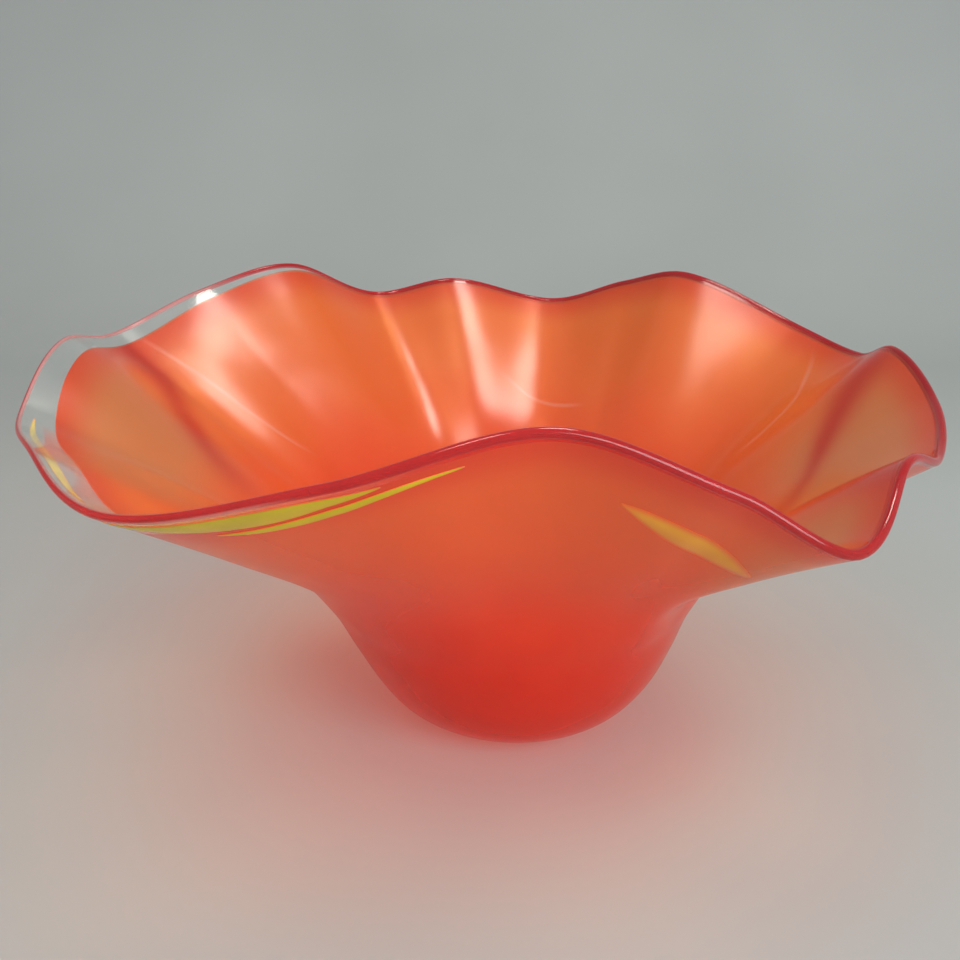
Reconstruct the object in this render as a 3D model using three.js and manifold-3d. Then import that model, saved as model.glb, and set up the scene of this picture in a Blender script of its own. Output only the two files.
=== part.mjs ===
// Free-blown art glass bowl with a ruffled rim, in millimetres, +Z up.
// The origin is the centre of the flat underside it rests on; -Y is the front.
//
// The wall is fused from layers, each one a mesh of its own:
//   clear_gather        the clear glass the bowl was blown from, bare along the rim on the left
//   orange_overlay      the orange glass gathered over it, which stops short of the rim
//   red_lip_wrap        the red thread of glass wound round the rim and melted to a bead
//   yellow_*            bits of yellow glass melted onto the outside
// Neighbouring layers share the very same points, so they meet without a gap or an overlap.

import Module from "manifold-3d";
import * as THREE from "three";
import { mergeVertices } from "three/addons/utils/BufferGeometryUtils.js";

// ---- driving dimensions ----

const COLUMNS = 90; // steps round the bowl
const FOOT_RADIUS = 31; // flat underside
const FOOT_END = 0.1; // where the flat ends, as a share of the way from the centre to the rim

// Outside of the bowl before it was ruffled: [share of the way to the rim, radius, height].
const PROFILE = [
  [FOOT_END, FOOT_RADIUS, 0],
  [0.15, 42, 3.5],
  [0.22, 55, 12],
  [0.3, 65, 25],
  [0.4, 74, 43],
  [0.5, 83, 63],
  [0.65, 103, 92],
  [0.82, 141, 124],
  [1, 183.5, 158.5],
];

// Outer edge of the rim, one row for each crest, hollow and pinch of the ruffle:
// [angle in degrees from +X towards +Y, radius, height].
const RIM = [
  [-180, 181, 163],
  [-169, 184, 150],
  [-150, 181, 153],
  [-128, 186, 150.5],
  [-104, 176.5, 169],
  [-82, 166.5, 184],
  [-64, 180, 163],
  [-53, 196, 142],
  [-38, 185, 156.5],
  [-24, 187, 144.5],
  [-8, 189, 150],
  [8, 188, 159.5],
  [17, 189.5, 149],
  [30, 188, 152.5],
  [50, 173, 172.5],
  [63, 182, 162.5],
  [77, 191, 147.5],
  [94, 182, 160],
  [108, 187, 153],
  [125, 171, 176],
  [142, 176, 169],
  [158, 186, 156.5],
  [172, 181.5, 165.5],
];

// Pinches that run down the wall from the rim, pushed in towards the middle.
const PINCHES = [
  { angle: 15, width: 6, depth: 5 },
  { angle: -38, width: 7, depth: 5 },
  { angle: 152, width: 7, depth: 5 },
];

const RIM_SHIFT = -18; // the rim sags this far to the left of the foot
const RUFFLE_START = 0.42; // the ruffle fades out at this share, just above the cup
const RUFFLE_POWER = 1.8;
const PINCH_START = 0.5;

// Wall thickness: [share of the way to the rim, thickness].
const WALL = [
  [0, 8],
  [FOOT_END, 8],
  [0.3, 6],
  [0.6, 4.4],
  [1, 3.2],
];
const OVERLAY_SHARE = 0.35; // part of the wall thickness that is orange

// The wall was drawn out thinner near the rim on the left.
const THIN_ANGLE = -172;
const THIN_HALF_WIDTH = 80;
const THIN_SHARE = 0.35; // lost from the thickness at the rim, in the middle of the thin side
const THIN_START = 0.6;

// Where the orange stops: [angle, share of the way to the rim]; the glass is bare on the left.
const COLOUR_EDGE = [
  [-180, 0.971],
  [-165, 0.954],
  [-150, 0.945],
  [-130, 0.957],
  [-110, 0.986],
  [-90, 0.995],
  [-30, 0.995],
  [60, 0.995],
  [115, 0.995],
  [135, 0.988],
  [155, 0.979],
];

// Rows of points up the wall, as shares of the way to where the colour ends.
const LOWER_ROWS = [0.06, FOOT_END, 0.125, 0.16, 0.2, 0.25, 0.31, 0.38, 0.45, 0.52];
const UPPER_ROWS = [0.15, 0.3, 0.44, 0.57, 0.69, 0.8, 0.88, 0.95, 1];
const CLEAR_ROWS = 2; // rows between the end of the colour and the rim

const LIP_RADIUS_SHARE = 0.56; // bead radius as a share of the wall it covers, at least a half
const LIP_STEPS = 7;

// Yellow bits on the outside: [angle, distance of the middle line below the rim, half width].
const YELLOW_BITS = {
  yellow_streak_left: [
    [-169, 4.6, 0.8],
    [-158, 4.8, 1.8],
    [-145, 5, 2.2],
    [-135, 4.2, 1.2],
  ],
  yellow_patch_left: [
    [-131, 2.8, 1.2],
    [-124, 4.6, 3.2],
    [-118, 5.8, 4.4],
    [-112, 6.2, 4.8],
    [-108, 5.6, 4.2],
    [-104, 4.2, 2.8],
    [-99, 3, 1.1],
  ],
  yellow_streak_front: [
    [-118, 13.8, 0.9],
    [-113, 14.4, 1.6],
    [-108, 12.8, 1.9],
    [-104, 10.2, 1.8],
    [-100, 7.6, 1.6],
    [-96, 6.2, 1.3],
    [-91, 5.6, 0.8],
  ],
  yellow_patch_right: [
    [-74, 25, 2],
    [-71, 28, 5],
    [-66, 33, 7],
    [-60, 38, 7],
    [-56, 43, 3],
  ],
};
const UPPER_WALL_LENGTH = 300; // what one whole share is worth along the wall near the rim
const BIT_STEP = 2; // degrees
const BIT_ACROSS = 4;
const BIT_PROUD = 1.1; // how far the bits stand out from the wall
const BIT_SUNK = 0.6;
const BIT_GAP = 0.3; // kept between a bit and the wall it is melted onto
const SLIVER = 0.01; // triangles flatter than this are merged into their neighbours

// ---- curves ----

// Smooth curve through [x, ..., y] rows, with y taken from the given place in each row.
function curve(rows, place, x) {
  let i = 0;
  while (i < rows.length - 2 && rows[i + 1][0] <= x) i += 1;
  const slope = (k) => {
    const a = rows[Math.max(k - 1, 0)];
    const b = rows[Math.min(k + 1, rows.length - 1)];
    return (b[place] - a[place]) / (b[0] - a[0]);
  };
  const step = rows[i + 1][0] - rows[i][0];
  const s = (x - rows[i][0]) / step;
  const rise = s * s * (3 - 2 * s);
  return (
    rows[i][place] * (1 - rise) +
    rows[i + 1][place] * rise +
    step * s * (1 - s) * ((1 - s) * slope(i) - s * slope(i + 1))
  );
}

// Rows that start with an angle, carried on a little past both ends of the full turn.
const wholeTurn = (rows) => [
  ...rows.slice(-2).map(([angle, ...rest]) => [angle - 360, ...rest]),
  ...rows,
  ...rows.slice(0, 2).map(([angle, ...rest]) => [angle + 360, ...rest]),
];
const RIM_TURN = wholeTurn(RIM);
const COLOUR_TURN = wholeTurn(COLOUR_EDGE);

const fade = (t, start) => Math.max((t - start) / (1 - start), 0);
const turnBetween = (a, b) => ((((a - b + 180) % 360) + 360) % 360) - 180;

// How far the pinches push the wall in.
function pinch(angle, t) {
  const s = Math.min(fade(t, PINCH_START), 1);
  const down = 6.75 * s * s * (1 - s);
  let sum = 0;
  for (const p of PINCHES) {
    const d = turnBetween(angle, p.angle) / p.width;
    sum += p.depth * Math.exp(-d * d);
  }
  return sum * down;
}

// Point on the outside of the bowl: angle in degrees, t from 0 at the centre to 1 at the rim.
function outside(angle, t) {
  const onFoot = t < FOOT_END;
  const radius = onFoot ? (FOOT_RADIUS * t) / FOOT_END : curve(PROFILE, 1, t);
  const height = onFoot ? 0 : curve(PROFILE, 2, t);
  const [, rimRadius, rimHeight] = PROFILE[PROFILE.length - 1];
  const ruffle = fade(t, RUFFLE_START) ** RUFFLE_POWER;
  const r = radius + ruffle * (curve(RIM_TURN, 1, angle) - rimRadius) - pinch(angle, t);
  const z = height + ruffle * (curve(RIM_TURN, 2, angle) - rimHeight);
  const shift = RIM_SHIFT * fade(t, 0.3) ** 1.5;
  const a = THREE.MathUtils.degToRad(angle);
  return new THREE.Vector3(shift + r * Math.cos(a), r * Math.sin(a), z);
}

// Direction out of the glass at that point.
function outward(angle, t) {
  if (t <= FOOT_END) return new THREE.Vector3(0, 0, -1);
  const round = outside(angle + 0.2, t).sub(outside(angle - 0.2, t));
  const up = outside(angle, t + 0.001).sub(outside(angle, t - 0.001));
  return round.cross(up).normalize();
}

function thickness(angle, t) {
  const d = Math.min(Math.abs(turnBetween(angle, THIN_ANGLE)) / THIN_HALF_WIDTH, 1);
  const lost = THIN_SHARE * Math.cos((d * Math.PI) / 2) ** 2 * Math.min(fade(t, THIN_START), 1);
  return curve(WALL, 1, t) * (1 - lost);
}

// Point inside the wall, at a share of its thickness below the outside.
function inWall(angle, t, share) {
  return outside(angle, t).addScaledVector(outward(angle, t), -thickness(angle, t) * share);
}

// ---- rows and columns shared by every layer ----

const ANGLES = Array.from({ length: COLUMNS }, (_, i) => -180 + (360 * i) / COLUMNS);

// Where the colour ends at an angle.
const colourEnd = (angle) => curve(COLOUR_TURN, 1, angle);

// The shares of the way to the rim of every row at an angle, without the centre.
function rowShares(angle) {
  const last = LOWER_ROWS[LOWER_ROWS.length - 1];
  const end = colourEnd(angle);
  const upper = UPPER_ROWS.map((u) => last + u * (end - last));
  const clear = Array.from({ length: CLEAR_ROWS }, (_, i) => end + ((1 - end) * (i + 1)) / CLEAR_ROWS);
  return [...LOWER_ROWS, ...upper, ...clear];
}

const SHARES = ANGLES.map(rowShares);
const COLOUR_ROW = LOWER_ROWS.length + UPPER_ROWS.length - 1;
const TOP_ROW = COLOUR_ROW + CLEAR_ROWS;

// Rings of points at one share of the thickness, from the lowest row to the highest.
function rings(share) {
  return Array.from({ length: TOP_ROW + 1 }, (_, row) =>
    ANGLES.map((angle, i) => inWall(angle, SHARES[i][row], share)),
  );
}

const OUTER = rings(0);
const MIDDLE = rings(OVERLAY_SHARE);
const INNER = rings(1);

// ---- building closed meshes ----

function meshOf(name, triangles, material) {
  const points = triangles.flat(1).flatMap((p) => [p.x, p.y, p.z]);
  const geometry = new THREE.BufferGeometry();
  geometry.setAttribute("position", new THREE.Float32BufferAttribute(points, 3));
  geometry.computeVertexNormals();
  const mesh = new THREE.Mesh(geometry, material);
  mesh.name = name;
  return mesh;
}

// Triangles between two rings; the rings run anticlockwise seen along the way out.
function band(low, high) {
  return low.flatMap((p, i) => {
    const j = (i + 1) % low.length;
    return [
      [p, low[j], high[j]],
      [p, high[j], high[i]],
    ];
  });
}

function bands(list) {
  return list.slice(1).flatMap((ring, i) => band(list[i], ring));
}

function fan(centre, ring) {
  return ring.map((p, i) => [centre, ring[(i + 1) % ring.length], p]);
}

const flipped = (triangles) => triangles.map(([a, b, c]) => [a, c, b]);

const centreAt = (share) => new THREE.Vector3(0, 0, curve(WALL, 1, 0) * share);

// Shell closed at the pole: skin outside, lining inside, joined by a band between their last rings.
function shell(name, skin, lining, outerCentre, innerCentre, material) {
  return meshOf(
    name,
    [
      ...fan(outerCentre, skin[0]),
      ...bands(skin),
      ...flipped(band(lining.at(-1), skin.at(-1))),
      ...flipped(bands(lining)),
      ...flipped(fan(innerCentre, lining[0])),
    ],
    material,
  );
}

function clearGather(material) {
  const skin = [...MIDDLE.slice(0, COLOUR_ROW + 1), ...OUTER.slice(COLOUR_ROW)];
  return shell("clear_gather", skin, INNER, centreAt(OVERLAY_SHARE), centreAt(1), material);
}

function orangeOverlay(material) {
  const skin = OUTER.slice(0, COLOUR_ROW + 1);
  const lining = MIDDLE.slice(0, COLOUR_ROW + 1);
  return shell("orange_overlay", skin, lining, centreAt(0), centreAt(OVERLAY_SHARE), material);
}

// Bead round the rim: an arc over the end of the wall, from its outer edge to its inner one.
function lipWrap(material) {
  const arc = Array.from({ length: LIP_STEPS + 1 }, () => []);
  ANGLES.forEach((angle, i) => {
    const outer = OUTER[TOP_ROW][i];
    const inner = INNER[TOP_ROW][i];
    const across = inner.clone().sub(outer);
    const half = across.length() / 2;
    across.normalize();
    const up = outside(angle, 1).sub(outside(angle, 0.999)).normalize();
    up.addScaledVector(across, -up.dot(across)).normalize();
    const radius = 2 * half * Math.max(LIP_RADIUS_SHARE, 0.5);
    const lift = Math.sqrt(radius * radius - half * half);
    const centre = outer.clone().add(inner).multiplyScalar(0.5).addScaledVector(up, lift);
    const start = Math.PI + Math.asin(lift / radius);
    for (let k = 0; k <= LIP_STEPS; k += 1) {
      const turn = start - (k * (2 * start - Math.PI)) / LIP_STEPS;
      const point = centre
        .clone()
        .addScaledVector(across, radius * Math.cos(turn))
        .addScaledVector(up, radius * Math.sin(turn));
      arc[k].push(k === 0 ? outer : k === LIP_STEPS ? inner : point);
    }
  });
  return meshOf("red_lip_wrap", [...bands(arc), ...band(arc.at(-1), arc[0])], material);
}

// ---- yellow bits ----

const wasm = await Module();
wasm.setup();

function solidOf(mesh) {
  const merged = mergeVertices(mesh.geometry.clone().deleteAttribute("normal"), 1e-4);
  return new wasm.Manifold(
    new wasm.Mesh({
      numProp: 3,
      vertProperties: merged.getAttribute("position").array,
      triVerts: new Uint32Array(merged.index.array),
    }),
  );
}

function meshFromSolid(name, solid, material) {
  const { vertProperties, triVerts } = solid.getMesh();
  const corner = (v) => new THREE.Vector3().fromArray(vertProperties, 3 * v);
  const triangles = Array.from({ length: triVerts.length / 3 }, (_, i) =>
    Array.from(triVerts.slice(3 * i, 3 * i + 3), corner),
  );
  return meshOf(name, triangles, material);
}

// The wall, grown outwards by the gap that the bits keep from it.
function grownWall(material) {
  const skin = OUTER.map((ring, row) =>
    ring.map((p, i) => p.clone().addScaledVector(outward(ANGLES[i], SHARES[i][row]), BIT_GAP)),
  );
  const under = new THREE.Vector3(0, 0, -BIT_GAP);
  return solidOf(shell("grown_wall", skin, INNER, under, centreAt(1), material));
}

// Plate along a line of the wall, from just under its outside to just above it, less the grown wall.
function yellowBit(name, line, wall, material) {
  const first = line[0][0];
  const steps = Math.round((line.at(-1)[0] - first) / BIT_STEP);
  const grid = (proud) =>
    Array.from({ length: steps + 1 }, (_, i) => {
      const angle = first + i * BIT_STEP;
      return Array.from({ length: BIT_ACROSS + 1 }, (_, k) => {
        const side = (2 * k) / BIT_ACROSS - 1;
        const below = curve(line, 1, angle) + side * curve(line, 2, angle);
        const t = 1 - below / UPPER_WALL_LENGTH;
        return outside(angle, t).addScaledVector(outward(angle, t), proud);
      });
    });
  const top = grid(BIT_PROUD);
  const bottom = grid(-BIT_SUNK);
  // One closed loop of points round each section: over the top and back under the bottom.
  const loops = top.map((row, i) => [...row, ...[...bottom[i]].reverse()]);
  const cap = (loop) => loop.slice(1, -1).map((p, i) => [loop[0], loop[i + 2], p]);
  const plate = [...bands(loops), ...cap(loops[0]), ...flipped(cap(loops.at(-1)))];
  const cut = solidOf(meshOf(name, plate, material)).subtract(wall).simplify(SLIVER);
  return meshFromSolid(name, cut, material);
}

// ---- materials ----

function glass(colour, roughness) {
  return new THREE.MeshStandardMaterial({ color: colour, roughness, metalness: 0 });
}

const bowl = new THREE.Group();
bowl.name = "art_glass_bowl";
bowl.add(clearGather(glass(0xe9efe8, 0.05)));
bowl.add(orangeOverlay(glass(0xe2551f, 0.08)));
bowl.add(lipWrap(glass(0xc62332, 0.08)));
const yellow = glass(0xd9c21c, 0.1);
const wall = grownWall(yellow);
for (const [name, line] of Object.entries(YELLOW_BITS)) {
  bowl.add(yellowBit(name, line, wall, yellow));
}

export default bowl;
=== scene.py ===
"""A free-blown art glass bowl with a ruffled rim, on a pale seamless sheet.

The glass is one wall with the colour in its outer part. Each layer is a closed piece. Where two
layers are fused there is nothing to see, so only the skins that meet the air bend light.
All sizes are in metres, in the frame of the solid model.
"""

from math import cos, pi, radians, sin

import bpy
import numpy as np
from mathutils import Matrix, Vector


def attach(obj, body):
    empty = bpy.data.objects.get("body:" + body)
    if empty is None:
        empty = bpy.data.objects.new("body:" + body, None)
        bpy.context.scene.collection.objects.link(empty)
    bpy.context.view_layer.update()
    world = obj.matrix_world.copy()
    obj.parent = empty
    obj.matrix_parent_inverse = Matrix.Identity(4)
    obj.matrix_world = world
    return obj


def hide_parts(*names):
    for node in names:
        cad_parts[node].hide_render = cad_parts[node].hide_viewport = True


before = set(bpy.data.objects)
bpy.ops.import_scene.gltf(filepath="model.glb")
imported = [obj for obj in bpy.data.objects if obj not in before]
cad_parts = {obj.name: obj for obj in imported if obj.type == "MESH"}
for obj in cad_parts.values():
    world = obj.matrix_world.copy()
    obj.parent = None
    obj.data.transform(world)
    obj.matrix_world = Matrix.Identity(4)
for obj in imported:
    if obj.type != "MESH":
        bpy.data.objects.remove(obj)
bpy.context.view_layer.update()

MM = 0.001

# ---- the bowl's sizes, as in the solid model ----

FOOT_RADIUS = 31 * MM
CUP_TOP = 0.5  # share of the way to the rim where the cup opens into the flare
FOOT_END = 0.1  # where the flat underside ends, as a share of the way from the centre to the rim

# Outside of the bowl before it was ruffled: share of the way to the rim, radius, height (mm).
PROFILE = [
    (FOOT_END, 31, 0),
    (0.15, 42, 3.5),
    (0.22, 55, 12),
    (0.3, 65, 25),
    (0.4, 74, 43),
    (0.5, 83, 63),
    (0.65, 103, 92),
    (0.82, 141, 124),
    (1.0, 183.5, 158.5),
]

# Outer edge of the rim at each crest, hollow and pinch: angle (degrees), radius, height (mm).
RIM = [
    (-180, 181, 163),
    (-169, 184, 150),
    (-150, 181, 153),
    (-128, 186, 150.5),
    (-104, 176.5, 169),
    (-82, 166.5, 184),
    (-64, 180, 163),
    (-53, 196, 142),
    (-38, 185, 156.5),
    (-24, 187, 144.5),
    (-8, 189, 150),
    (8, 188, 159.5),
    (17, 189.5, 149),
    (30, 188, 152.5),
    (50, 173, 172.5),
    (63, 182, 162.5),
    (77, 191, 147.5),
    (94, 182, 160),
    (108, 187, 153),
    (125, 171, 176),
    (142, 176, 169),
    (158, 186, 156.5),
    (172, 181.5, 165.5),
]

# Pinches that run down the wall from the rim: angle, width (degrees), depth (mm).
PINCHES = [(15, 6, 5), (-38, 7, 5), (152, 7, 5)]

RIM_SHIFT = -18 * MM  # the rim sags this far to the left of the foot
SHIFT_START = 0.3
SHIFT_POWER = 1.5
RUFFLE_START = 0.42
RUFFLE_POWER = 1.8
PINCH_START = 0.5
PINCH_SCALE = 27 / 4  # brings the hump s * s * (1 - s) up to 1 at its highest
WALL = [(0, 8), (FOOT_END, 8), (0.3, 6), (0.6, 4.4), (1.0, 3.2)]  # thickness (mm)
OVERLAY_SHARE = 0.35  # part of the wall's thickness that is orange

# The wall was drawn out thinner near the rim on the left.
THIN_ANGLE = -172
THIN_HALF_WIDTH = 80
THIN_SHARE = 0.35  # lost from the thickness at the rim, in the middle of the thin side
THIN_START = 0.6

# Where the orange stops: angle, share of the way to the rim; the glass is bare on the left.
COLOUR_EDGE = [
    (-180, 0.971),
    (-165, 0.954),
    (-150, 0.945),
    (-130, 0.957),
    (-110, 0.986),
    (-90, 0.995),
    (-30, 0.995),
    (60, 0.995),
    (115, 0.995),
    (135, 0.988),
    (155, 0.979),
]

FULL_COLOUR = 0.995  # where it stops on the coloured side
BARE_DROP = 0.012  # the glass past the colour looks fully bare once the colour stops this much lower

LIP_RADIUS_SHARE = 0.56  # radius of the lip's bead, as a share of the wall it covers
UPPER_WALL_LENGTH = 300  # what one whole share is worth along the wall near the rim, in mm

# Lobes where the flare spreads widest and its glass is palest: middle angle, half width (degrees).
LOBES = [(-174, 20), (-10, 17), (-50, 9)]
LOBE_START = 0.7
LOBE_GROWTH = 3  # how fast the paleness grows past the start

CREASE_WIDTH = 4  # degrees
CREASE_GROWTH = 6  # how fast a crease darkens past its first row

# Creases darkened with painted shade: share of the way to the rim, angle (degrees).
SHADED_CREASES = [
    [(0.64, 181), (0.74, 177), (0.815, 170), (0.905, 161), (1.0, 159)],
    [(0.66, -24), (0.755, -12.5), (0.825, -1), (0.895, 5.5), (0.965, 9), (1.0, 11)],
    [(0.7, -32), (0.88, -36), (1.0, -39)],
]

# How finely each layer is drawn.
COLUMNS = 360
LOWER_ROWS = 36
UPPER_ROWS = 70
CLEAR_ROWS = 6
LIP_STEPS = 16
FIRST_RING = 0.02  # share of the way to the rim where the fan at the centre ends
BIT_STEPS_ALONG = 120
BIT_STEPS_ACROSS = 24
TURN_STEP = 0.2  # degrees, each way, for a slope measured round the wall
WAY_STEP = 0.001  # share of the way, for a slope measured up the wall

ANGLES = -180 + 360 * np.arange(COLUMNS) / COLUMNS


# ---- shape of the wall ----


def curve(rows, place, x, period=None):
    """Cubic through the rows' values at their places, with the slope at each row that of the line
    joining its two neighbours. With a period the curve closes on itself."""
    at = np.array([row[0] for row in rows], float)
    value = np.array([row[place] for row in rows], float)
    x = np.asarray(x, float)
    if period:
        x = (x - at[0]) % period + at[0]
        at = np.concatenate([at[-2:] - period, at, at[:2] + period])
        value = np.concatenate([value[-2:], value, value[:2]])
    before = np.maximum(np.arange(len(at)) - 1, 0)
    after = np.minimum(np.arange(len(at)) + 1, len(at) - 1)
    slope = (value[after] - value[before]) / (at[after] - at[before])
    i = np.clip(np.searchsorted(at, x, side="right") - 1, 0, len(at) - 2)
    step = at[i + 1] - at[i]
    s = (x - at[i]) / step
    rise = s * s * (3 - 2 * s)
    bend = step * s * (1 - s) * ((1 - s) * slope[i] - s * slope[i + 1])
    return value[i] * (1 - rise) + value[i + 1] * rise + bend


def fade(t, start):
    """Grows evenly from 0 at start to 1 at the rim."""
    return np.maximum((t - start) / (1 - start), 0)


def turn_between(a, b):
    """Signed angle from b to a, in degrees, the short way round."""
    return (a - b + 180) % 360 - 180


def pinch(angle, t):
    """Sum over the pinches of a bell curve of the angle, times a hump that is 0 at the rim and highest
    two thirds of the way up from its start. In metres inwards."""
    s = np.minimum(fade(t, PINCH_START), 1)
    total = np.zeros(np.broadcast(angle, t).shape)
    for centre, width, depth in PINCHES:
        total = total + depth * MM * np.exp(-((turn_between(angle, centre) / width) ** 2))
    return total * PINCH_SCALE * s * s * (1 - s)


def outside(angle, t):
    """Point on the outside: the profile turned about Z, plus the rim's own departure from a circle,
    which fades out towards the cup as a power of the way up, less the pinches."""
    on_foot = t < FOOT_END
    up = np.maximum(t, FOOT_END)
    radius = np.where(on_foot, FOOT_RADIUS * t / FOOT_END, curve(PROFILE, 1, up) * MM)
    height = np.where(on_foot, 0, curve(PROFILE, 2, up) * MM)
    ruffle = fade(t, RUFFLE_START) ** RUFFLE_POWER
    wide = (curve(RIM, 1, angle, 360) - PROFILE[-1][1]) * MM
    high = (curve(RIM, 2, angle, 360) - PROFILE[-1][2]) * MM
    r = radius + ruffle * wide - pinch(angle, t)
    shift = RIM_SHIFT * fade(t, SHIFT_START) ** SHIFT_POWER
    a = np.radians(angle)
    return np.stack([shift + r * np.cos(a), r * np.sin(a), height + ruffle * high], axis=-1)


def unit(v):
    return v / np.linalg.norm(v, axis=-1, keepdims=True)


def outward(angle, t):
    """Direction out of the glass: the cross product of the steps round and up the wall."""
    across = outside(angle + TURN_STEP, t) - outside(angle - TURN_STEP, t)
    up = outside(angle, t + WAY_STEP) - outside(angle, t - WAY_STEP)
    with np.errstate(invalid="ignore"):
        direction = unit(np.cross(across, up))
    return np.where((t <= FOOT_END)[..., None], np.array([0.0, 0.0, -1.0]), direction)


def thickness(angle, t):
    """The wall's thickness by the way up, less a cosine bell round the thin side that grows to the rim."""
    d = np.minimum(np.abs(turn_between(angle, THIN_ANGLE)) / THIN_HALF_WIDTH, 1)
    lost = THIN_SHARE * np.cos(d * pi / 2) ** 2 * np.minimum(fade(t, THIN_START), 1)
    return curve(WALL, 1, t) * MM * (1 - lost)


def in_wall(angle, t, share):
    """Point at a share of the wall's thickness below the outside."""
    return outside(angle, t) - outward(angle, t) * (thickness(angle, t) * share)[..., None]


def colour_end(angle):
    """Where the colour stops at an angle: a curve through the rows of the colour's edge."""
    return curve(COLOUR_EDGE, 1, angle, 360)


def wall_rows():
    """Shares of the way to the rim, rows by columns: even steps to the top of the cup, then to the end
    of the colour, then to the rim."""
    end = colour_end(ANGLES)[None, :]
    lower = np.linspace(FIRST_RING, CUP_TOP, LOWER_ROWS)[:, None] + 0 * end
    upper = CUP_TOP + (end - CUP_TOP) * (np.arange(1, UPPER_ROWS + 1) / UPPER_ROWS)[:, None]
    clear = end + (1 - end) * (np.arange(1, CLEAR_ROWS + 1) / CLEAR_ROWS)[:, None]
    return np.concatenate([lower, upper, clear])


WAY = wall_rows()
TURN = np.broadcast_to(ANGLES, WAY.shape)
COLOUR_ROW = LOWER_ROWS + UPPER_ROWS - 1


# ---- closed meshes from grids ----


def grid_quads(rows, columns, wrap_rows=False):
    """Corner numbers of the cells of a grid whose columns close on themselves."""
    row = np.arange(rows if wrap_rows else rows - 1)[:, None]
    column = np.arange(columns)[None, :]
    right = (column + 1) % columns
    above = (row + 1) % rows
    corners = [
        row * columns + column,
        row * columns + right,
        above * columns + right,
        above * columns + column,
    ]
    return np.stack(np.broadcast_arrays(*corners), axis=-1).reshape(-1, 4)


def open_cells(rows, columns):
    """Corner numbers of the cells of a grid with open edges."""
    a = np.arange(rows - 1)[:, None] * columns + np.arange(columns - 1)[None, :]
    return np.stack([a, a + 1, a + columns + 1, a + columns], axis=-1).reshape(-1, 4)


def ring_masks(count, columns, rings):
    """For each ring, a mask over count corners that picks out the corners of that ring."""
    corners = np.arange(count)
    return [corners // columns == ring for ring in rings]


def build(name, points, faces, face_slots, seams, marks, materials):
    """A smooth mesh piece. seams are corner masks: an edge between two masked corners is left sharp.
    marks are numbers kept at each corner for the materials."""
    mesh = bpy.data.meshes.new(name)
    mesh.from_pydata(points.tolist(), [], faces)
    mesh.update(calc_edges=True)
    mesh.polygons.foreach_set("material_index", face_slots)
    mesh.polygons.foreach_set("use_smooth", np.ones(len(faces), bool))
    ends = np.empty(len(mesh.edges) * 2, np.int32)
    mesh.edges.foreach_get("vertices", ends)
    ends = ends.reshape(-1, 2)
    sharp = np.zeros(len(ends), bool)
    for seam in seams:
        sharp |= seam[ends].all(axis=1)
    mesh.attributes.new("sharp_edge", "BOOLEAN", "EDGE").data.foreach_set("value", sharp)
    for mark, values in marks.items():
        mesh.attributes.new(mark, "FLOAT", "POINT").data.foreach_set("value", values.astype(np.float32))
    for material in materials:
        mesh.materials.append(material)
    piece = bpy.data.objects.new(name, mesh)
    bpy.context.scene.collection.objects.link(piece)
    return piece


def shell(name, skin, lining, skin_way, lining_way, seam_rings, slots, materials):
    """Closed shell: the skin's rings from the pole up, then the lining's rings back down, with a fan of
    triangles at each pole. slots gives the material of each band between rings of that whole path."""
    path = np.concatenate([skin, lining[::-1]])
    way = np.concatenate([skin_way, lining_way[::-1]])
    rows, columns = path.shape[:2]
    quads = grid_quads(rows, columns)
    low_pole = rows * columns
    around = np.arange(columns)
    beside = (around + 1) % columns
    last = (rows - 1) * columns
    fans = [(low_pole, int(b), int(a)) for a, b in zip(around, beside)]
    fans += [(low_pole + 1, int(last + a), int(last + b)) for a, b in zip(around, beside)]
    poles = np.array([skin[0].mean(axis=0), lining[0].mean(axis=0)])
    points = np.concatenate([path.reshape(-1, 3), poles])
    band_slots = np.repeat(np.asarray(slots), columns)
    face_slots = np.concatenate([band_slots, np.full(columns, slots[0]), np.full(columns, slots[-1])])
    seams = ring_masks(len(points), columns, seam_rings)
    angle = np.broadcast_to(ANGLES, way.shape)
    marks = wall_marks(angle, way)
    marks = {k: np.concatenate([v.ravel(), [v[0].mean(), v[-1].mean()]]) for k, v in marks.items()}
    faces = quads.tolist() + fans
    return build(name, points, faces, face_slots.astype(np.int32), seams, marks, materials)


def wall_marks(angle, way):
    """Numbers the glass materials read: way up the wall, angle, distance below the colour's edge (mm),
    how much painted shade darkens a crease (a bell curve of the angle from it), nearness to the middle of
    a lobe (a flatter bell) and how bare the glass past the colour looks at this angle."""
    # painted shade: each crease darkens the colour along a bell curve of the angle
    crease_shade = np.zeros(way.shape)
    for line in SHADED_CREASES:
        off = turn_between(angle, curve(line, 1, np.clip(way, line[0][0], 1)))
        grown = np.clip((way - line[0][0]) * CREASE_GROWTH, 0, 1)
        crease_shade += np.exp(-((off / CREASE_WIDTH) ** 2)) * grown
    lobe = np.zeros(way.shape)
    for centre, width in LOBES:
        lobe += np.exp(-((turn_between(angle, centre) / width) ** 4))
    bare = (FULL_COLOUR - colour_end(angle)) / BARE_DROP
    return {
        "way": way,
        "turn": angle + 0 * way,
        "to_edge": (colour_end(angle) - way) * UPPER_WALL_LENGTH,
        "crease_shade": crease_shade,
        "lobe": lobe * np.clip(fade(way, LOBE_START) * LOBE_GROWTH, 0, 1),
        "bare": np.clip(bare, 0, 1) + 0 * way,
    }


# ---- shader helpers ----


def new_material(name):
    material = bpy.data.materials.new(name)
    material.use_nodes = True
    material.node_tree.nodes.clear()
    return material


def feed(tree, socket, value):
    """Links a socket to value where that is a socket, and sets it to value otherwise."""
    if isinstance(value, bpy.types.NodeSocket):
        tree.links.new(value, socket)
    else:
        socket.default_value = value


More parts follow.
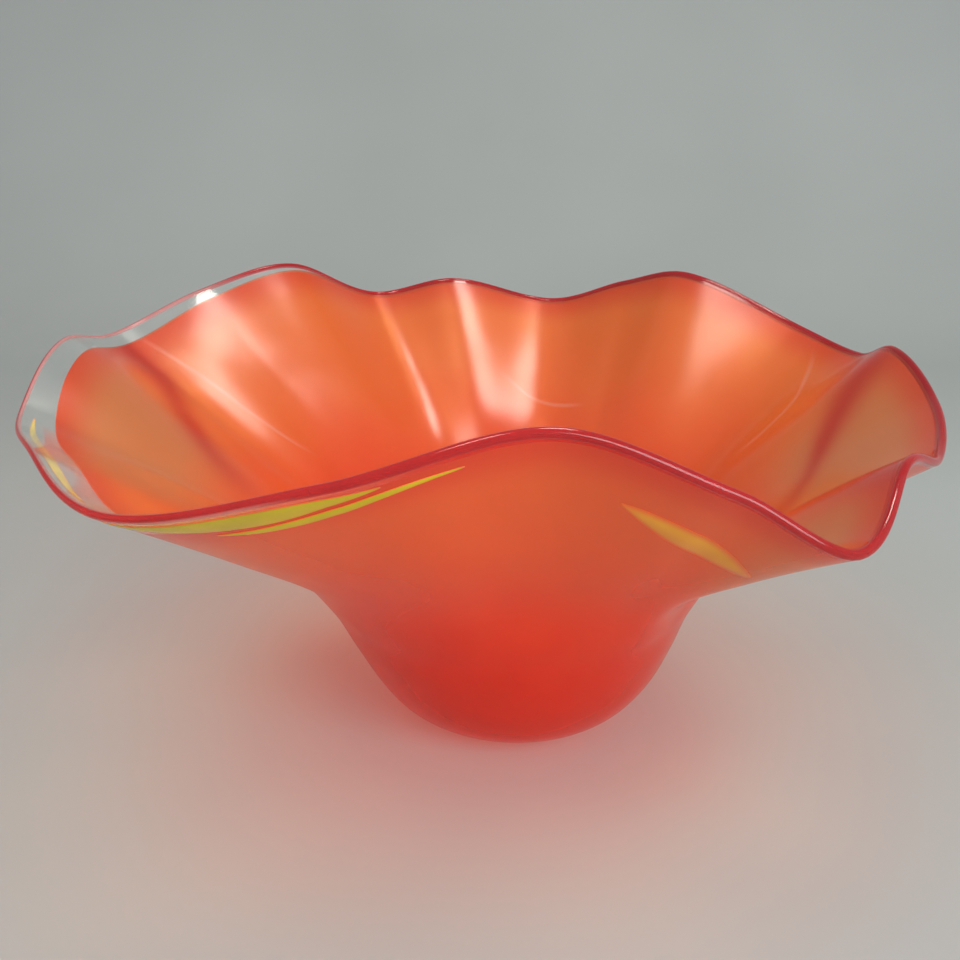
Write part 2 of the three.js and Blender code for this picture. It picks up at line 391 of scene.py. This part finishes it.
def add(tree, kind, inputs=None, **settings):
    """A node with its settings, and its inputs set to a value or linked from a socket."""
    made = tree.nodes.new(kind)
    for key, value in settings.items():
        setattr(made, key, value)
    for key, value in (inputs or {}).items():
        feed(tree, made.inputs[key], value)
    return made


def mark(tree, name):
    """The number kept at each point of the surface under this name."""
    return add(tree, "ShaderNodeAttribute", attribute_name=name).outputs["Fac"]


def span(tree, value, low, high, to_low=0.0, to_high=1.0, smooth=True):
    """value carried from low..high to to_low..to_high, and held beyond."""
    kind = "SMOOTHSTEP" if smooth else "LINEAR"
    inputs = {"Value": value, "From Min": low, "From Max": high, "To Min": to_low, "To Max": to_high}
    return add(tree, "ShaderNodeMapRange", inputs, interpolation_type=kind).outputs["Result"]


def blend(tree, share, a, b, mode="MIX"):
    """Colour a with colour b mixed in by share. The node's colour sockets are 6, 7 and the output 2."""
    node = add(tree, "ShaderNodeMix", data_type="RGBA", blend_type=mode)
    for place, value in ((0, share), (6, a), (7, b)):
        feed(tree, node.inputs[place], value)
    return node.outputs[2]


def maths(tree, operation, a, b=0.0):
    """The result of a Math node."""
    node = add(tree, "ShaderNodeMath", operation=operation)
    for place, value in ((0, a), (1, b)):
        feed(tree, node.inputs[place], value)
    return node.outputs[0]


def ramp(tree, value, stops):
    """Colour along a row of (place, colour) stops."""
    node = add(tree, "ShaderNodeValToRGB", {"Fac": value})
    points = node.color_ramp.elements
    while len(points) < len(stops):
        points.new(0.5)
    for point, (place, colour) in zip(points, stops):
        point.position = place
        point.color = (*colour, 1)
    return node.outputs["Color"]


def new_group(name, inputs, outputs):
    """An empty node group with float inputs (name, default) and (name, kind) outputs."""
    tree = bpy.data.node_groups.new(name, "ShaderNodeTree")
    for key, default in inputs:
        socket = tree.interface.new_socket(key, in_out="INPUT", socket_type="NodeSocketFloat")
        socket.default_value = default
    for key, kind in outputs:
        tree.interface.new_socket(key, in_out="OUTPUT", socket_type=kind)
    return tree, tree.nodes.new("NodeGroupInput"), tree.nodes.new("NodeGroupOutput")


def hand_blown_group():
    """Slow waves of a hand-blown wall, for Bump, and a faint smear for roughness."""
    tree, given, out = new_group(
        "hand_blown_wall",
        [("Wave Size", 28.0), ("Smear", 0.04), ("Softness", 0.12)],
        [("Height", "NodeSocketFloat"), ("Roughness", "NodeSocketFloat")],
    )
    place = add(tree, "ShaderNodeTexCoord").outputs["Object"]
    size = given.outputs["Wave Size"]
    waves = add(tree, "ShaderNodeTexNoise", {"Vector": place, "Scale": size, "Detail": 1.0})
    stretch = add(tree, "ShaderNodeMapping", {"Vector": place, "Scale": (60.0, 60.0, 12.0)})
    smear = add(tree, "ShaderNodeTexNoise", {"Vector": stretch.outputs[0], "Scale": 1.0, "Detail": 3.0})
    tree.links.new(waves.outputs["Fac"], out.inputs["Height"])
    uneven = maths(tree, "MULTIPLY", smear.outputs["Fac"], given.outputs["Smear"])
    tree.links.new(maths(tree, "ADD", uneven, given.outputs["Softness"]), out.inputs["Roughness"])
    return tree


def orange_group():
    """Colour of the orange glass: deep in the cup, paler where it was blown thin, red at its edge, darkened
    by painted shade in the pinches, with soft streaks drawn up the wall."""
    tree, given, out = new_group(
        "drawn_orange_colour",
        [("Way", 0.5), ("To Edge", 50.0), ("Fold", 0.0), ("Lobe", 0.0)],
        [("Color", "NodeSocketColor")],
    )
    place = add(tree, "ShaderNodeTexCoord").outputs["Object"]
    stretch = add(tree, "ShaderNodeMapping", {"Vector": place, "Scale": (26.0, 26.0, 7.0)})
    streak = add(tree, "ShaderNodeTexNoise", {"Vector": stretch.outputs[0], "Scale": 1.0, "Detail": 2.0})
    drift = span(tree, streak.outputs["Fac"], 0.3, 0.7, -0.06, 0.06, smooth=False)
    way = maths(tree, "ADD", given.outputs["Way"], drift)
    body = ramp(
        tree,
        way,
        [
            (0.0, (0.8, 0.095, 0.032)),
            (0.45, (0.86, 0.115, 0.034)),
            (0.62, (0.94, 0.18, 0.04)),
            (0.8, (0.95, 0.26, 0.055)),
            (0.95, (0.95, 0.29, 0.065)),
        ],
    )
    thin = blend(tree, given.outputs["Lobe"], body, (0.8, 0.34, 0.13, 1))
    near_rim = span(tree, given.outputs["To Edge"], -1.0, 20.0, 0.85, 0.0)
    edged = blend(tree, near_rim, thin, (0.86, 0.11, 0.04, 1))
    # painted shade: the colour goes deep red along the creases
    crease_shade_share = maths(tree, "MULTIPLY", given.outputs["Fold"], 0.9)
    tree.links.new(blend(tree, crease_shade_share, edged, (0.7, 0.05, 0.025, 1)), out.inputs["Color"])
    return tree


HAND_BLOWN = hand_blown_group()
ORANGE = orange_group()


def use(tree, group, **inputs):
    """A node holding a group, with its inputs set or linked; _ stands for a space in a name."""
    node = tree.nodes.new("ShaderNodeGroup")
    node.node_tree = group
    for key, value in inputs.items():
        feed(tree, node.inputs[key.replace("_", " ")], value)
    return node


def finish_glass(material, colour, transmission, wave=0.3, softness=0.2):
    """The shader of a glass skin: it bends light, and lets light from the lamps through. The lamps' light
    takes on much of the colour in the thick cup and little in the thin flare."""
    tree = material.node_tree
    surface = use(tree, HAND_BLOWN, Softness=softness)
    waves = {"Strength": wave, "Distance": 0.002, "Height": surface.outputs["Height"]}
    bump = add(tree, "ShaderNodeBump", waves)
    skin = add(
        tree,
        "ShaderNodeBsdfPrincipled",
        {
            "Base Color": colour,
            "Roughness": surface.outputs["Roughness"],
            "IOR": 1.5,
            "Transmission Weight": transmission,
            "Normal": bump.outputs["Normal"],
        },
    )
    tint = span(tree, mark(tree, "way"), 0.5, 0.85, 0.6, 0.05)
    lamp_colour = blend(tree, tint, (1, 0.985, 0.975, 1), colour)
    lamp = add(tree, "ShaderNodeBsdfTransparent", {"Color": lamp_colour})
    shadow = add(tree, "ShaderNodeLightPath").outputs["Is Shadow Ray"]
    mixed = add(tree, "ShaderNodeMixShader", {0: shadow, 1: skin.outputs[0], 2: lamp.outputs[0]})
    add(tree, "ShaderNodeOutputMaterial", {"Surface": mixed.outputs[0]})
    return material


def orange_colour(tree):
    """The orange glass read at this point of the wall."""
    given = {"Way": "way", "To_Edge": "to_edge", "Fold": "crease_shade", "Lobe": "lobe"}
    marks = {key: mark(tree, name) for key, name in given.items()}
    return use(tree, ORANGE, **marks).outputs["Color"]


# ---- the glasses ----


def outer_orange(tree):
    """The orange glass seen from outside: deeper, most of all in the cup, where the colour lies thick."""
    thin = span(tree, mark(tree, "way"), 0.55, 0.9)
    depth = blend(tree, thin, (1, 0.42, 0.28, 1), (1, 0.68, 0.5, 1))
    return blend(tree, 1.0, orange_colour(tree), depth, "MULTIPLY")


def orange_skin_material():
    """Outside of the orange overlay."""
    material = new_material("orange_overlay_glass")
    return finish_glass(material, outer_orange(material.node_tree), 0.55)


def thin_line_mask(tree, along, across, points, half_width):
    """1 on a thin line, 0 off it, tapering at its ends. points are (along, across) numbers."""
    first, last = points[0][0], points[-1][0]
    least = min(p[1] for p in points)
    most = max(p[1] for p in points)
    place = span(tree, along, first, last, smooth=False)
    path = add(tree, "ShaderNodeFloatCurve", {"Value": place})
    knots = path.mapping.curves[0].points
    while len(knots) < len(points):
        knots.new(0.5, 0.5)
    for knot, (x, y) in zip(knots, points):
        knot.location = ((x - first) / (last - first), (y - least) / (most - least))
    path.mapping.update()
    middle = span(tree, path.outputs[0], 0.0, 1.0, least, most, smooth=False)
    off = maths(tree, "ABSOLUTE", maths(tree, "SUBTRACT", across, middle))
    end = 0.25 * (last - first)
    grow = span(tree, along, first, first + end)
    wane = span(tree, along, last - end, last, 1.0, 0.0)
    body = span(tree, off, 0.3 * half_width, half_width, 1.0, 0.0)
    return maths(tree, "MULTIPLY", body, maths(tree, "MULTIPLY", grow, wane))


def backed_skin_material():
    """Inside of the clear gather where the orange lies behind it, so the skin carries part of its tint.
    A few thin pale lines on it are painted reflections, drawn into the colour."""
    material = new_material("clear_over_orange_glass")
    tree = material.node_tree
    way, turn = mark(tree, "way"), mark(tree, "turn")
    # painted reflections: thin pale lines, by angle and way up the wall
    painted_reflection_lines = [
        thin_line_mask(tree, way, turn, [(0.66, 143), (0.71, 150), (0.78, 152.5), (0.885, 154), (1.0, 156)], 0.7),
        thin_line_mask(tree, turn, way, [(65, 0.735), (78.5, 0.745), (84.5, 0.775), (90, 0.82)], 0.006),
        thin_line_mask(tree, way, turn, [(0.72, 19), (0.79, 17), (0.855, 17.5), (0.92, 21.5), (0.985, 26)], 0.9),
        thin_line_mask(tree, turn, way, [(61, 0.596), (77.5, 0.595), (90, 0.617)], 0.005),
    ]
    colour = orange_colour(tree)
    # the pale colour of the painted reflections, mixed in at half strength
    for line in painted_reflection_lines:
        colour = blend(tree, maths(tree, "MULTIPLY", line, 0.5), colour, (1, 0.55, 0.4, 1))
    return finish_glass(material, colour, 0.7)


def bare_glass_material():
    """Clear glass past the end of the colour, with a faint cool cast. It is red where the lip's colour
    reaches down to the orange, which is all round but for the clear side."""
    material = new_material("clear_gather_glass")
    tree = material.node_tree
    place = add(tree, "ShaderNodeTexCoord").outputs["Object"]
    cords = add(tree, "ShaderNodeTexNoise", {"Vector": place, "Scale": 30.0, "Detail": 1.0})
    colour = ramp(tree, cords.outputs["Fac"], [(0.3, (0.93, 0.95, 0.94)), (0.7, (0.97, 0.98, 0.97))])
    share = span(tree, mark(tree, "bare"), 0.0, 0.2)
    colour = blend(tree, share, (0.8, 0.07, 0.035, 1), colour)
    return finish_glass(material, colour, 0.97, softness=0.07)


def red_lip_material():
    """Crimson bead. Over the bare rim the red is only a thin line along the middle of the bead."""
    material = new_material("red_lip_glass")
    tree = material.node_tree
    place = add(tree, "ShaderNodeTexCoord").outputs["Object"]
    cords = add(tree, "ShaderNodeTexNoise", {"Vector": place, "Scale": 40.0, "Detail": 2.0})
    red = ramp(tree, cords.outputs["Fac"], [(0.3, (0.5, 0.014, 0.022)), (0.7, (0.62, 0.024, 0.035))])
    off_line = span(tree, mark(tree, "off_middle"), 0.3, 0.6)
    pale = maths(tree, "MULTIPLY", off_line, span(tree, mark(tree, "bare"), 0.4, 1.0, 0.0, 0.65))
    return finish_glass(material, blend(tree, pale, red, (0.9, 0.62, 0.6, 1)), 0.6, wave=0.15, softness=0.08)


def yellow_material():
    """Opaque mottled yellow bits that fade into the orange towards their edges."""
    material = new_material("yellow_bit_glass")
    tree = material.node_tree
    place = add(tree, "ShaderNodeTexCoord").outputs["Object"]
    mottle = add(tree, "ShaderNodeTexNoise", {"Vector": place, "Scale": 70.0, "Detail": 3.0})
    yellow = ramp(tree, mottle.outputs["Fac"], [(0.3, (0.7, 0.55, 0.008)), (0.7, (0.82, 0.63, 0.012))])
    share = span(tree, mark(tree, "core"), 0.0, 0.3)
    return finish_glass(material, blend(tree, share, orange_colour(tree), yellow), 0.2, wave=0.15)


def sunk_yellow_material():
    """A yellow bit that sank into the wall, so that a film of orange covers it and hides its edges."""
    material = new_material("sunk_yellow_glass")
    tree = material.node_tree
    place = add(tree, "ShaderNodeTexCoord").outputs["Object"]
    mottle = add(tree, "ShaderNodeTexNoise", {"Vector": place, "Scale": 50.0, "Detail": 2.0})
    ochre = ramp(tree, mottle.outputs["Fac"], [(0.3, (0.85, 0.4, 0.02)), (0.7, (0.95, 0.48, 0.03))])
    skin = outer_orange(tree)
    share = span(tree, mark(tree, "core"), 0.1, 0.8)
    return finish_glass(material, blend(tree, share, skin, ochre), 0.25)


def fused_material():
    """Where two layers are melted together there is no surface left to see."""
    material = new_material("fused_seam")
    tree = material.node_tree
    skin = add(tree, "ShaderNodeBsdfPrincipled", {"Base Color": (1.0, 1.0, 1.0, 1), "Alpha": 0.0})
    add(tree, "ShaderNodeOutputMaterial", {"Surface": skin.outputs[0]})
    return material


FUSED = fused_material()
SKIN, SEAM, BARE = 0, 1, 2


# ---- the pieces ----


def finish_piece(piece, node):
    """Puts the piece in its node's place and fixes it to the body."""
    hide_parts(node)
    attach(piece, "root")
    return piece


def clear_gather():
    """Inner clear layer: fused to the overlay up to the end of the colour, then bare on both sides."""
    covered = COLOUR_ROW + 1
    middle = in_wall(TURN[:covered], WAY[:covered], OVERLAY_SHARE)
    open_side = outside(TURN[COLOUR_ROW:], WAY[COLOUR_ROW:])
    skin = np.concatenate([middle, open_side])
    skin_way = np.concatenate([WAY[:covered], WAY[COLOUR_ROW:]])
    lining = in_wall(TURN, WAY, 1.0)
    top = len(skin) - 1
    outer_slots = [SEAM] * covered + [BARE] * (top - covered) + [SEAM]
    slots = outer_slots + [BARE] * CLEAR_ROWS + [SKIN] * COLOUR_ROW
    seams = [COLOUR_ROW, covered, top, top + 1]
    materials = [backed_skin_material(), FUSED, bare_glass_material()]
    piece = shell("clear_gather_glass_wall", skin, lining, skin_way, WAY, seams, slots, materials)
    return finish_piece(piece, "clear_gather")


def orange_overlay():
    """Outer orange layer, from the underside up to the end of the colour."""
    covered = COLOUR_ROW + 1
    way = WAY[:covered]
    skin = outside(TURN[:covered], way)
    lining = in_wall(TURN[:covered], way, OVERLAY_SHARE)
    slots = [SKIN] * (covered - 1) + [SEAM] * covered
    seams = [covered - 1, covered]
    materials = [orange_skin_material(), FUSED]
    piece = shell("orange_overlay_glass_wall", skin, lining, way, way, seams, slots, materials)
    return finish_piece(piece, "orange_overlay")


def red_lip_wrap():
    """Bead round the rim: a circular arc in each section, from the wall's outer edge over to its inner
    edge, with its centre just above the end of the wall."""
    rim = np.ones(COLUMNS)
    outer = outside(ANGLES, rim)
    inner = in_wall(ANGLES, rim, 1.0)
    across = unit(inner - outer)
    half = np.linalg.norm(inner - outer, axis=-1) / 2
    up = unit(outside(ANGLES, rim) - outside(ANGLES, rim - WAY_STEP))
    up = unit(up - across * (up * across).sum(axis=-1, keepdims=True))
    radius = 2 * half * LIP_RADIUS_SHARE
    lift = np.sqrt(radius**2 - half**2)
    centre = (outer + inner) / 2 + up * lift[:, None]
    start = pi + np.arcsin(lift / radius)
    step = (np.arange(LIP_STEPS + 1) / LIP_STEPS)[:, None]
    turn = start - step * (2 * start - pi)
    sideways = across * (radius * np.cos(turn))[..., None]
    arc = centre + sideways + up * (radius * np.sin(turn))[..., None]
    quads = grid_quads(LIP_STEPS + 1, COLUMNS, wrap_rows=True)
    slots = np.full(len(quads), SKIN)
    slots[-COLUMNS:] = SEAM
    points = arc.reshape(-1, 3)
    seams = ring_masks(len(points), COLUMNS, (0, LIP_STEPS))
    marks = {key: np.tile(value, LIP_STEPS + 1) for key, value in wall_marks(ANGLES, rim).items()}
    marks["off_middle"] = np.repeat(np.abs(2 * step[:, 0] - 1), COLUMNS)
    piece = build(
        "red_lip_bead",
        points,
        quads.tolist(),
        slots.astype(np.int32),
        seams,
        marks,
        [red_lip_material(), FUSED],
    )
    return finish_piece(piece, "red_lip_wrap")


# Yellow bits: (node, rows of angle, distance of the middle line below the rim and half width (mm)).
YELLOW_BITS = {
    "yellow_streak_under_left_rim": (
        "yellow_streak_left",
        [(-169, 4.6, 0.8), (-158, 4.8, 1.8), (-145, 5, 2.2), (-135, 4.2, 1.2)],
    ),
    "yellow_patch_under_left_rim": (
        "yellow_patch_left",
        [
            (-131, 2.8, 1.2), (-124, 4.6, 3.2), (-118, 5.8, 4.4), (-112, 6.2, 4.8),
            (-108, 5.6, 4.2), (-104, 4.2, 2.8), (-99, 3, 1.1),
        ],
    ),
    "yellow_streak_below_left_patch": (
        "yellow_streak_front",
        [
            (-118, 13.8, 0.9), (-113, 14.4, 1.6), (-108, 12.8, 1.9), (-104, 10.2, 1.8),
            (-100, 7.6, 1.6), (-96, 6.2, 1.3), (-91, 5.6, 0.8),
        ],
    ),
    "yellow_patch_on_right_flare": (
        "yellow_patch_right",
        [(-74, 25, 2), (-71, 28, 5), (-66, 33, 7), (-60, 38, 7), (-56, 43, 3)],
    ),
}
BIT_THICKNESS = 0.7  # mm, in the middle
BIT_LIFT = 0.05  # mm, from the wall to the underside of a bit
BIT_LEAST_HALF_WIDTH = 0.3  # mm
BIT_END_SHARE = 0.4  # width left at a bit's ends, as a share of its own width there
ROUND_CROWN = 0.5  # power of the thickness across a bit that stands on the wall
SUNK_CROWN = 1.5  # the same for a bit that sank into it


def yellow_bit(name, node, line, crown, material):
    """Thin lens on the outside of the wall along a line of angle and distance below the rim. Its half
    width follows the line's curve, and its thickness falls off as a parabola to the power of crown."""
    along = np.linspace(line[0][0], line[-1][0], BIT_STEPS_ALONG + 1)
    across = np.linspace(-1, 1, BIT_STEPS_ACROSS + 1)
    angle, side = np.meshgrid(along, across, indexing="ij")
    round_end = np.sin(np.linspace(0, pi, len(along)))[:, None] ** 0.5
    taper = BIT_END_SHARE + (1 - BIT_END_SHARE) * round_end
    half = np.maximum(curve(line, 2, angle), BIT_LEAST_HALF_WIDTH) * taper
    way = 1 - (curve(line, 1, angle) + side * half) / UPPER_WALL_LENGTH
    bulge = np.maximum(1 - side**2, 0) ** crown * round_end
    base = outside(angle, way)
    out = outward(angle, way)
    top = base + out * ((BIT_LIFT + BIT_THICKNESS * bulge) * MM)[..., None]
    bottom = base + out * (BIT_LIFT * MM)
    rows, columns = angle.shape
    cells = open_cells(rows, columns)
    under = cells[:, ::-1] + rows * columns
    edge = np.concatenate(
        [
            np.arange(columns - 1),
            np.arange(rows - 1) * columns + columns - 1,
            (rows - 1) * columns + np.arange(columns - 1, 0, -1),
            np.arange(rows - 1, 0, -1) * columns,
        ]
    )
    following = np.roll(edge, -1)
    walls = np.stack([following, edge, edge + rows * columns, following + rows * columns], axis=-1)
    faces = np.concatenate([cells, under, walls])
    points = np.concatenate([top.reshape(-1, 3), bottom.reshape(-1, 3)])
    marks = {**wall_marks(angle, way), "core": (1 - side**2) * round_end}
    marks = {key: np.tile(value.ravel(), 2) for key, value in marks.items()}
    slots = np.zeros(len(faces), np.int32)
    piece = build(name, points, faces.tolist(), slots, [], marks, [material])
    return finish_piece(piece, node)


def yellow_bits():
    """All the yellow bits. The one on the right sank into the wall; the others stand on it."""
    on_wall = ROUND_CROWN, yellow_material()
    sunk = SUNK_CROWN, sunk_yellow_material()
    for name, (node, line) in YELLOW_BITS.items():
        crown, material = sunk if node == "yellow_patch_right" else on_wall
        yellow_bit(name, node, line, crown, material)


# ---- sheet, lamps and camera ----


def seamless_sheet():
    """Pale sheet: level under the bowl, then a quarter circle, then upright, carried sideways."""
    front, back, bend, top, half = -1.6, 1.1, 0.5, 2.2, 2.6
    gap = 0.0004  # below the bowl's underside
    turn = np.linspace(0, pi / 2, 25)
    y = np.concatenate([[front], back - bend + bend * np.sin(turn), [back]])
    z = np.concatenate([[0], bend - bend * np.cos(turn), [top]])
    x = np.linspace(-half, half, 9)
    grid = np.broadcast_arrays(x, y[:, None], z[:, None] - gap)
    points = np.stack(grid, axis=-1).reshape(-1, 3)
    faces = open_cells(len(y), len(x))
    mesh = bpy.data.meshes.new("pale_sheet")
    mesh.from_pydata(points.tolist(), [], faces.tolist())
    mesh.polygons.foreach_set("use_smooth", np.ones(len(faces), bool))
    material = new_material("pale_sheet_paper")
    tree = material.node_tree
    place = add(tree, "ShaderNodeTexCoord").outputs["Object"]
    fibre = add(tree, "ShaderNodeTexNoise", {"Vector": place, "Scale": 3.0, "Detail": 3.0})
    colour = ramp(tree, fibre.outputs["Fac"], [(0.3, (0.465, 0.49, 0.478)), (0.7, (0.505, 0.53, 0.518))])
    look = {"Base Color": colour, "Roughness": 0.85, "Specular IOR Level": 0.2}
    paper = add(tree, "ShaderNodeBsdfPrincipled", look)
    add(tree, "ShaderNodeOutputMaterial", {"Surface": paper.outputs[0]})
    mesh.materials.append(material)
    sheet = bpy.data.objects.new("pale_sheet", mesh)
    bpy.context.scene.collection.objects.link(sheet)


BOWL_MIDDLE = Vector((0, 0, 0.1))
WARM = (1, 0.96, 0.87)
COOL = (0.93, 0.98, 1)


def soft_lamp(name, place, size, power, colour):
    """Round soft lamp turned towards the middle of the bowl."""
    data = bpy.data.lights.new(name, "AREA")
    data.shape = "ELLIPSE"
    data.size = size
    data.size_y = size
    data.energy = power
    data.color = colour
    lamp = bpy.data.objects.new(name, data)
    lamp.location = place
    lamp.rotation_euler = (BOWL_MIDDLE - Vector(place)).to_track_quat("-Z", "Y").to_euler()
    bpy.context.scene.collection.objects.link(lamp)
    return lamp


def light_the_set():
    """Two small warm lamps over the bowl, a wide cool one in front, and even light all round."""
    soft_lamp("right_ceiling_lamp", (0.24, 0.2, 1.15), 0.28, 2.55, WARM)
    soft_lamp("left_ceiling_lamp", (-0.13, -0.27, 1.15), 0.3, 1.85, WARM)
    soft_lamp("front_softbox", (0.8, -1.1, 0.65), 0.9, 10.5, COOL)
    world = bpy.data.worlds.new("studio_air")
    world.use_nodes = True
    air = world.node_tree.nodes["Background"]
    air.inputs["Color"].default_value = (0.8, 0.82, 0.83, 1)
    air.inputs["Strength"].default_value = 0.58
    bpy.context.scene.world = world


def place_camera():
    """Looks down on the bowl from the front at the height of a standing view across a table."""
    elevation = radians(20.5)
    distance = 0.5255
    aim = Vector((-0.0158, 0.0, 0.1097))
    data = bpy.data.cameras.new("camera")
    data.lens = 45
    data.sensor_width = 36
    data.clip_start = 0.02
    camera = bpy.data.objects.new("camera", data)
    camera.location = aim + Vector((0, -cos(elevation), sin(elevation))) * distance
    camera.rotation_euler = (pi / 2 - elevation, 0, 0)
    bpy.context.scene.collection.objects.link(camera)
    bpy.context.scene.camera = camera


def prepare_scene():
    """Plain colours, and enough bounces for light to cross several walls of glass."""
    scene = bpy.context.scene
    scene.view_settings.view_transform = "Standard"
    scene.cycles.max_bounces = 24
    scene.cycles.transmission_bounces = 24
    scene.cycles.transparent_max_bounces = 48
    scene.cycles.glossy_bounces = 8


prepare_scene()
place_camera()
light_the_set()
seamless_sheet()
clear_gather()
orange_overlay()
red_lip_wrap()
yellow_bits()
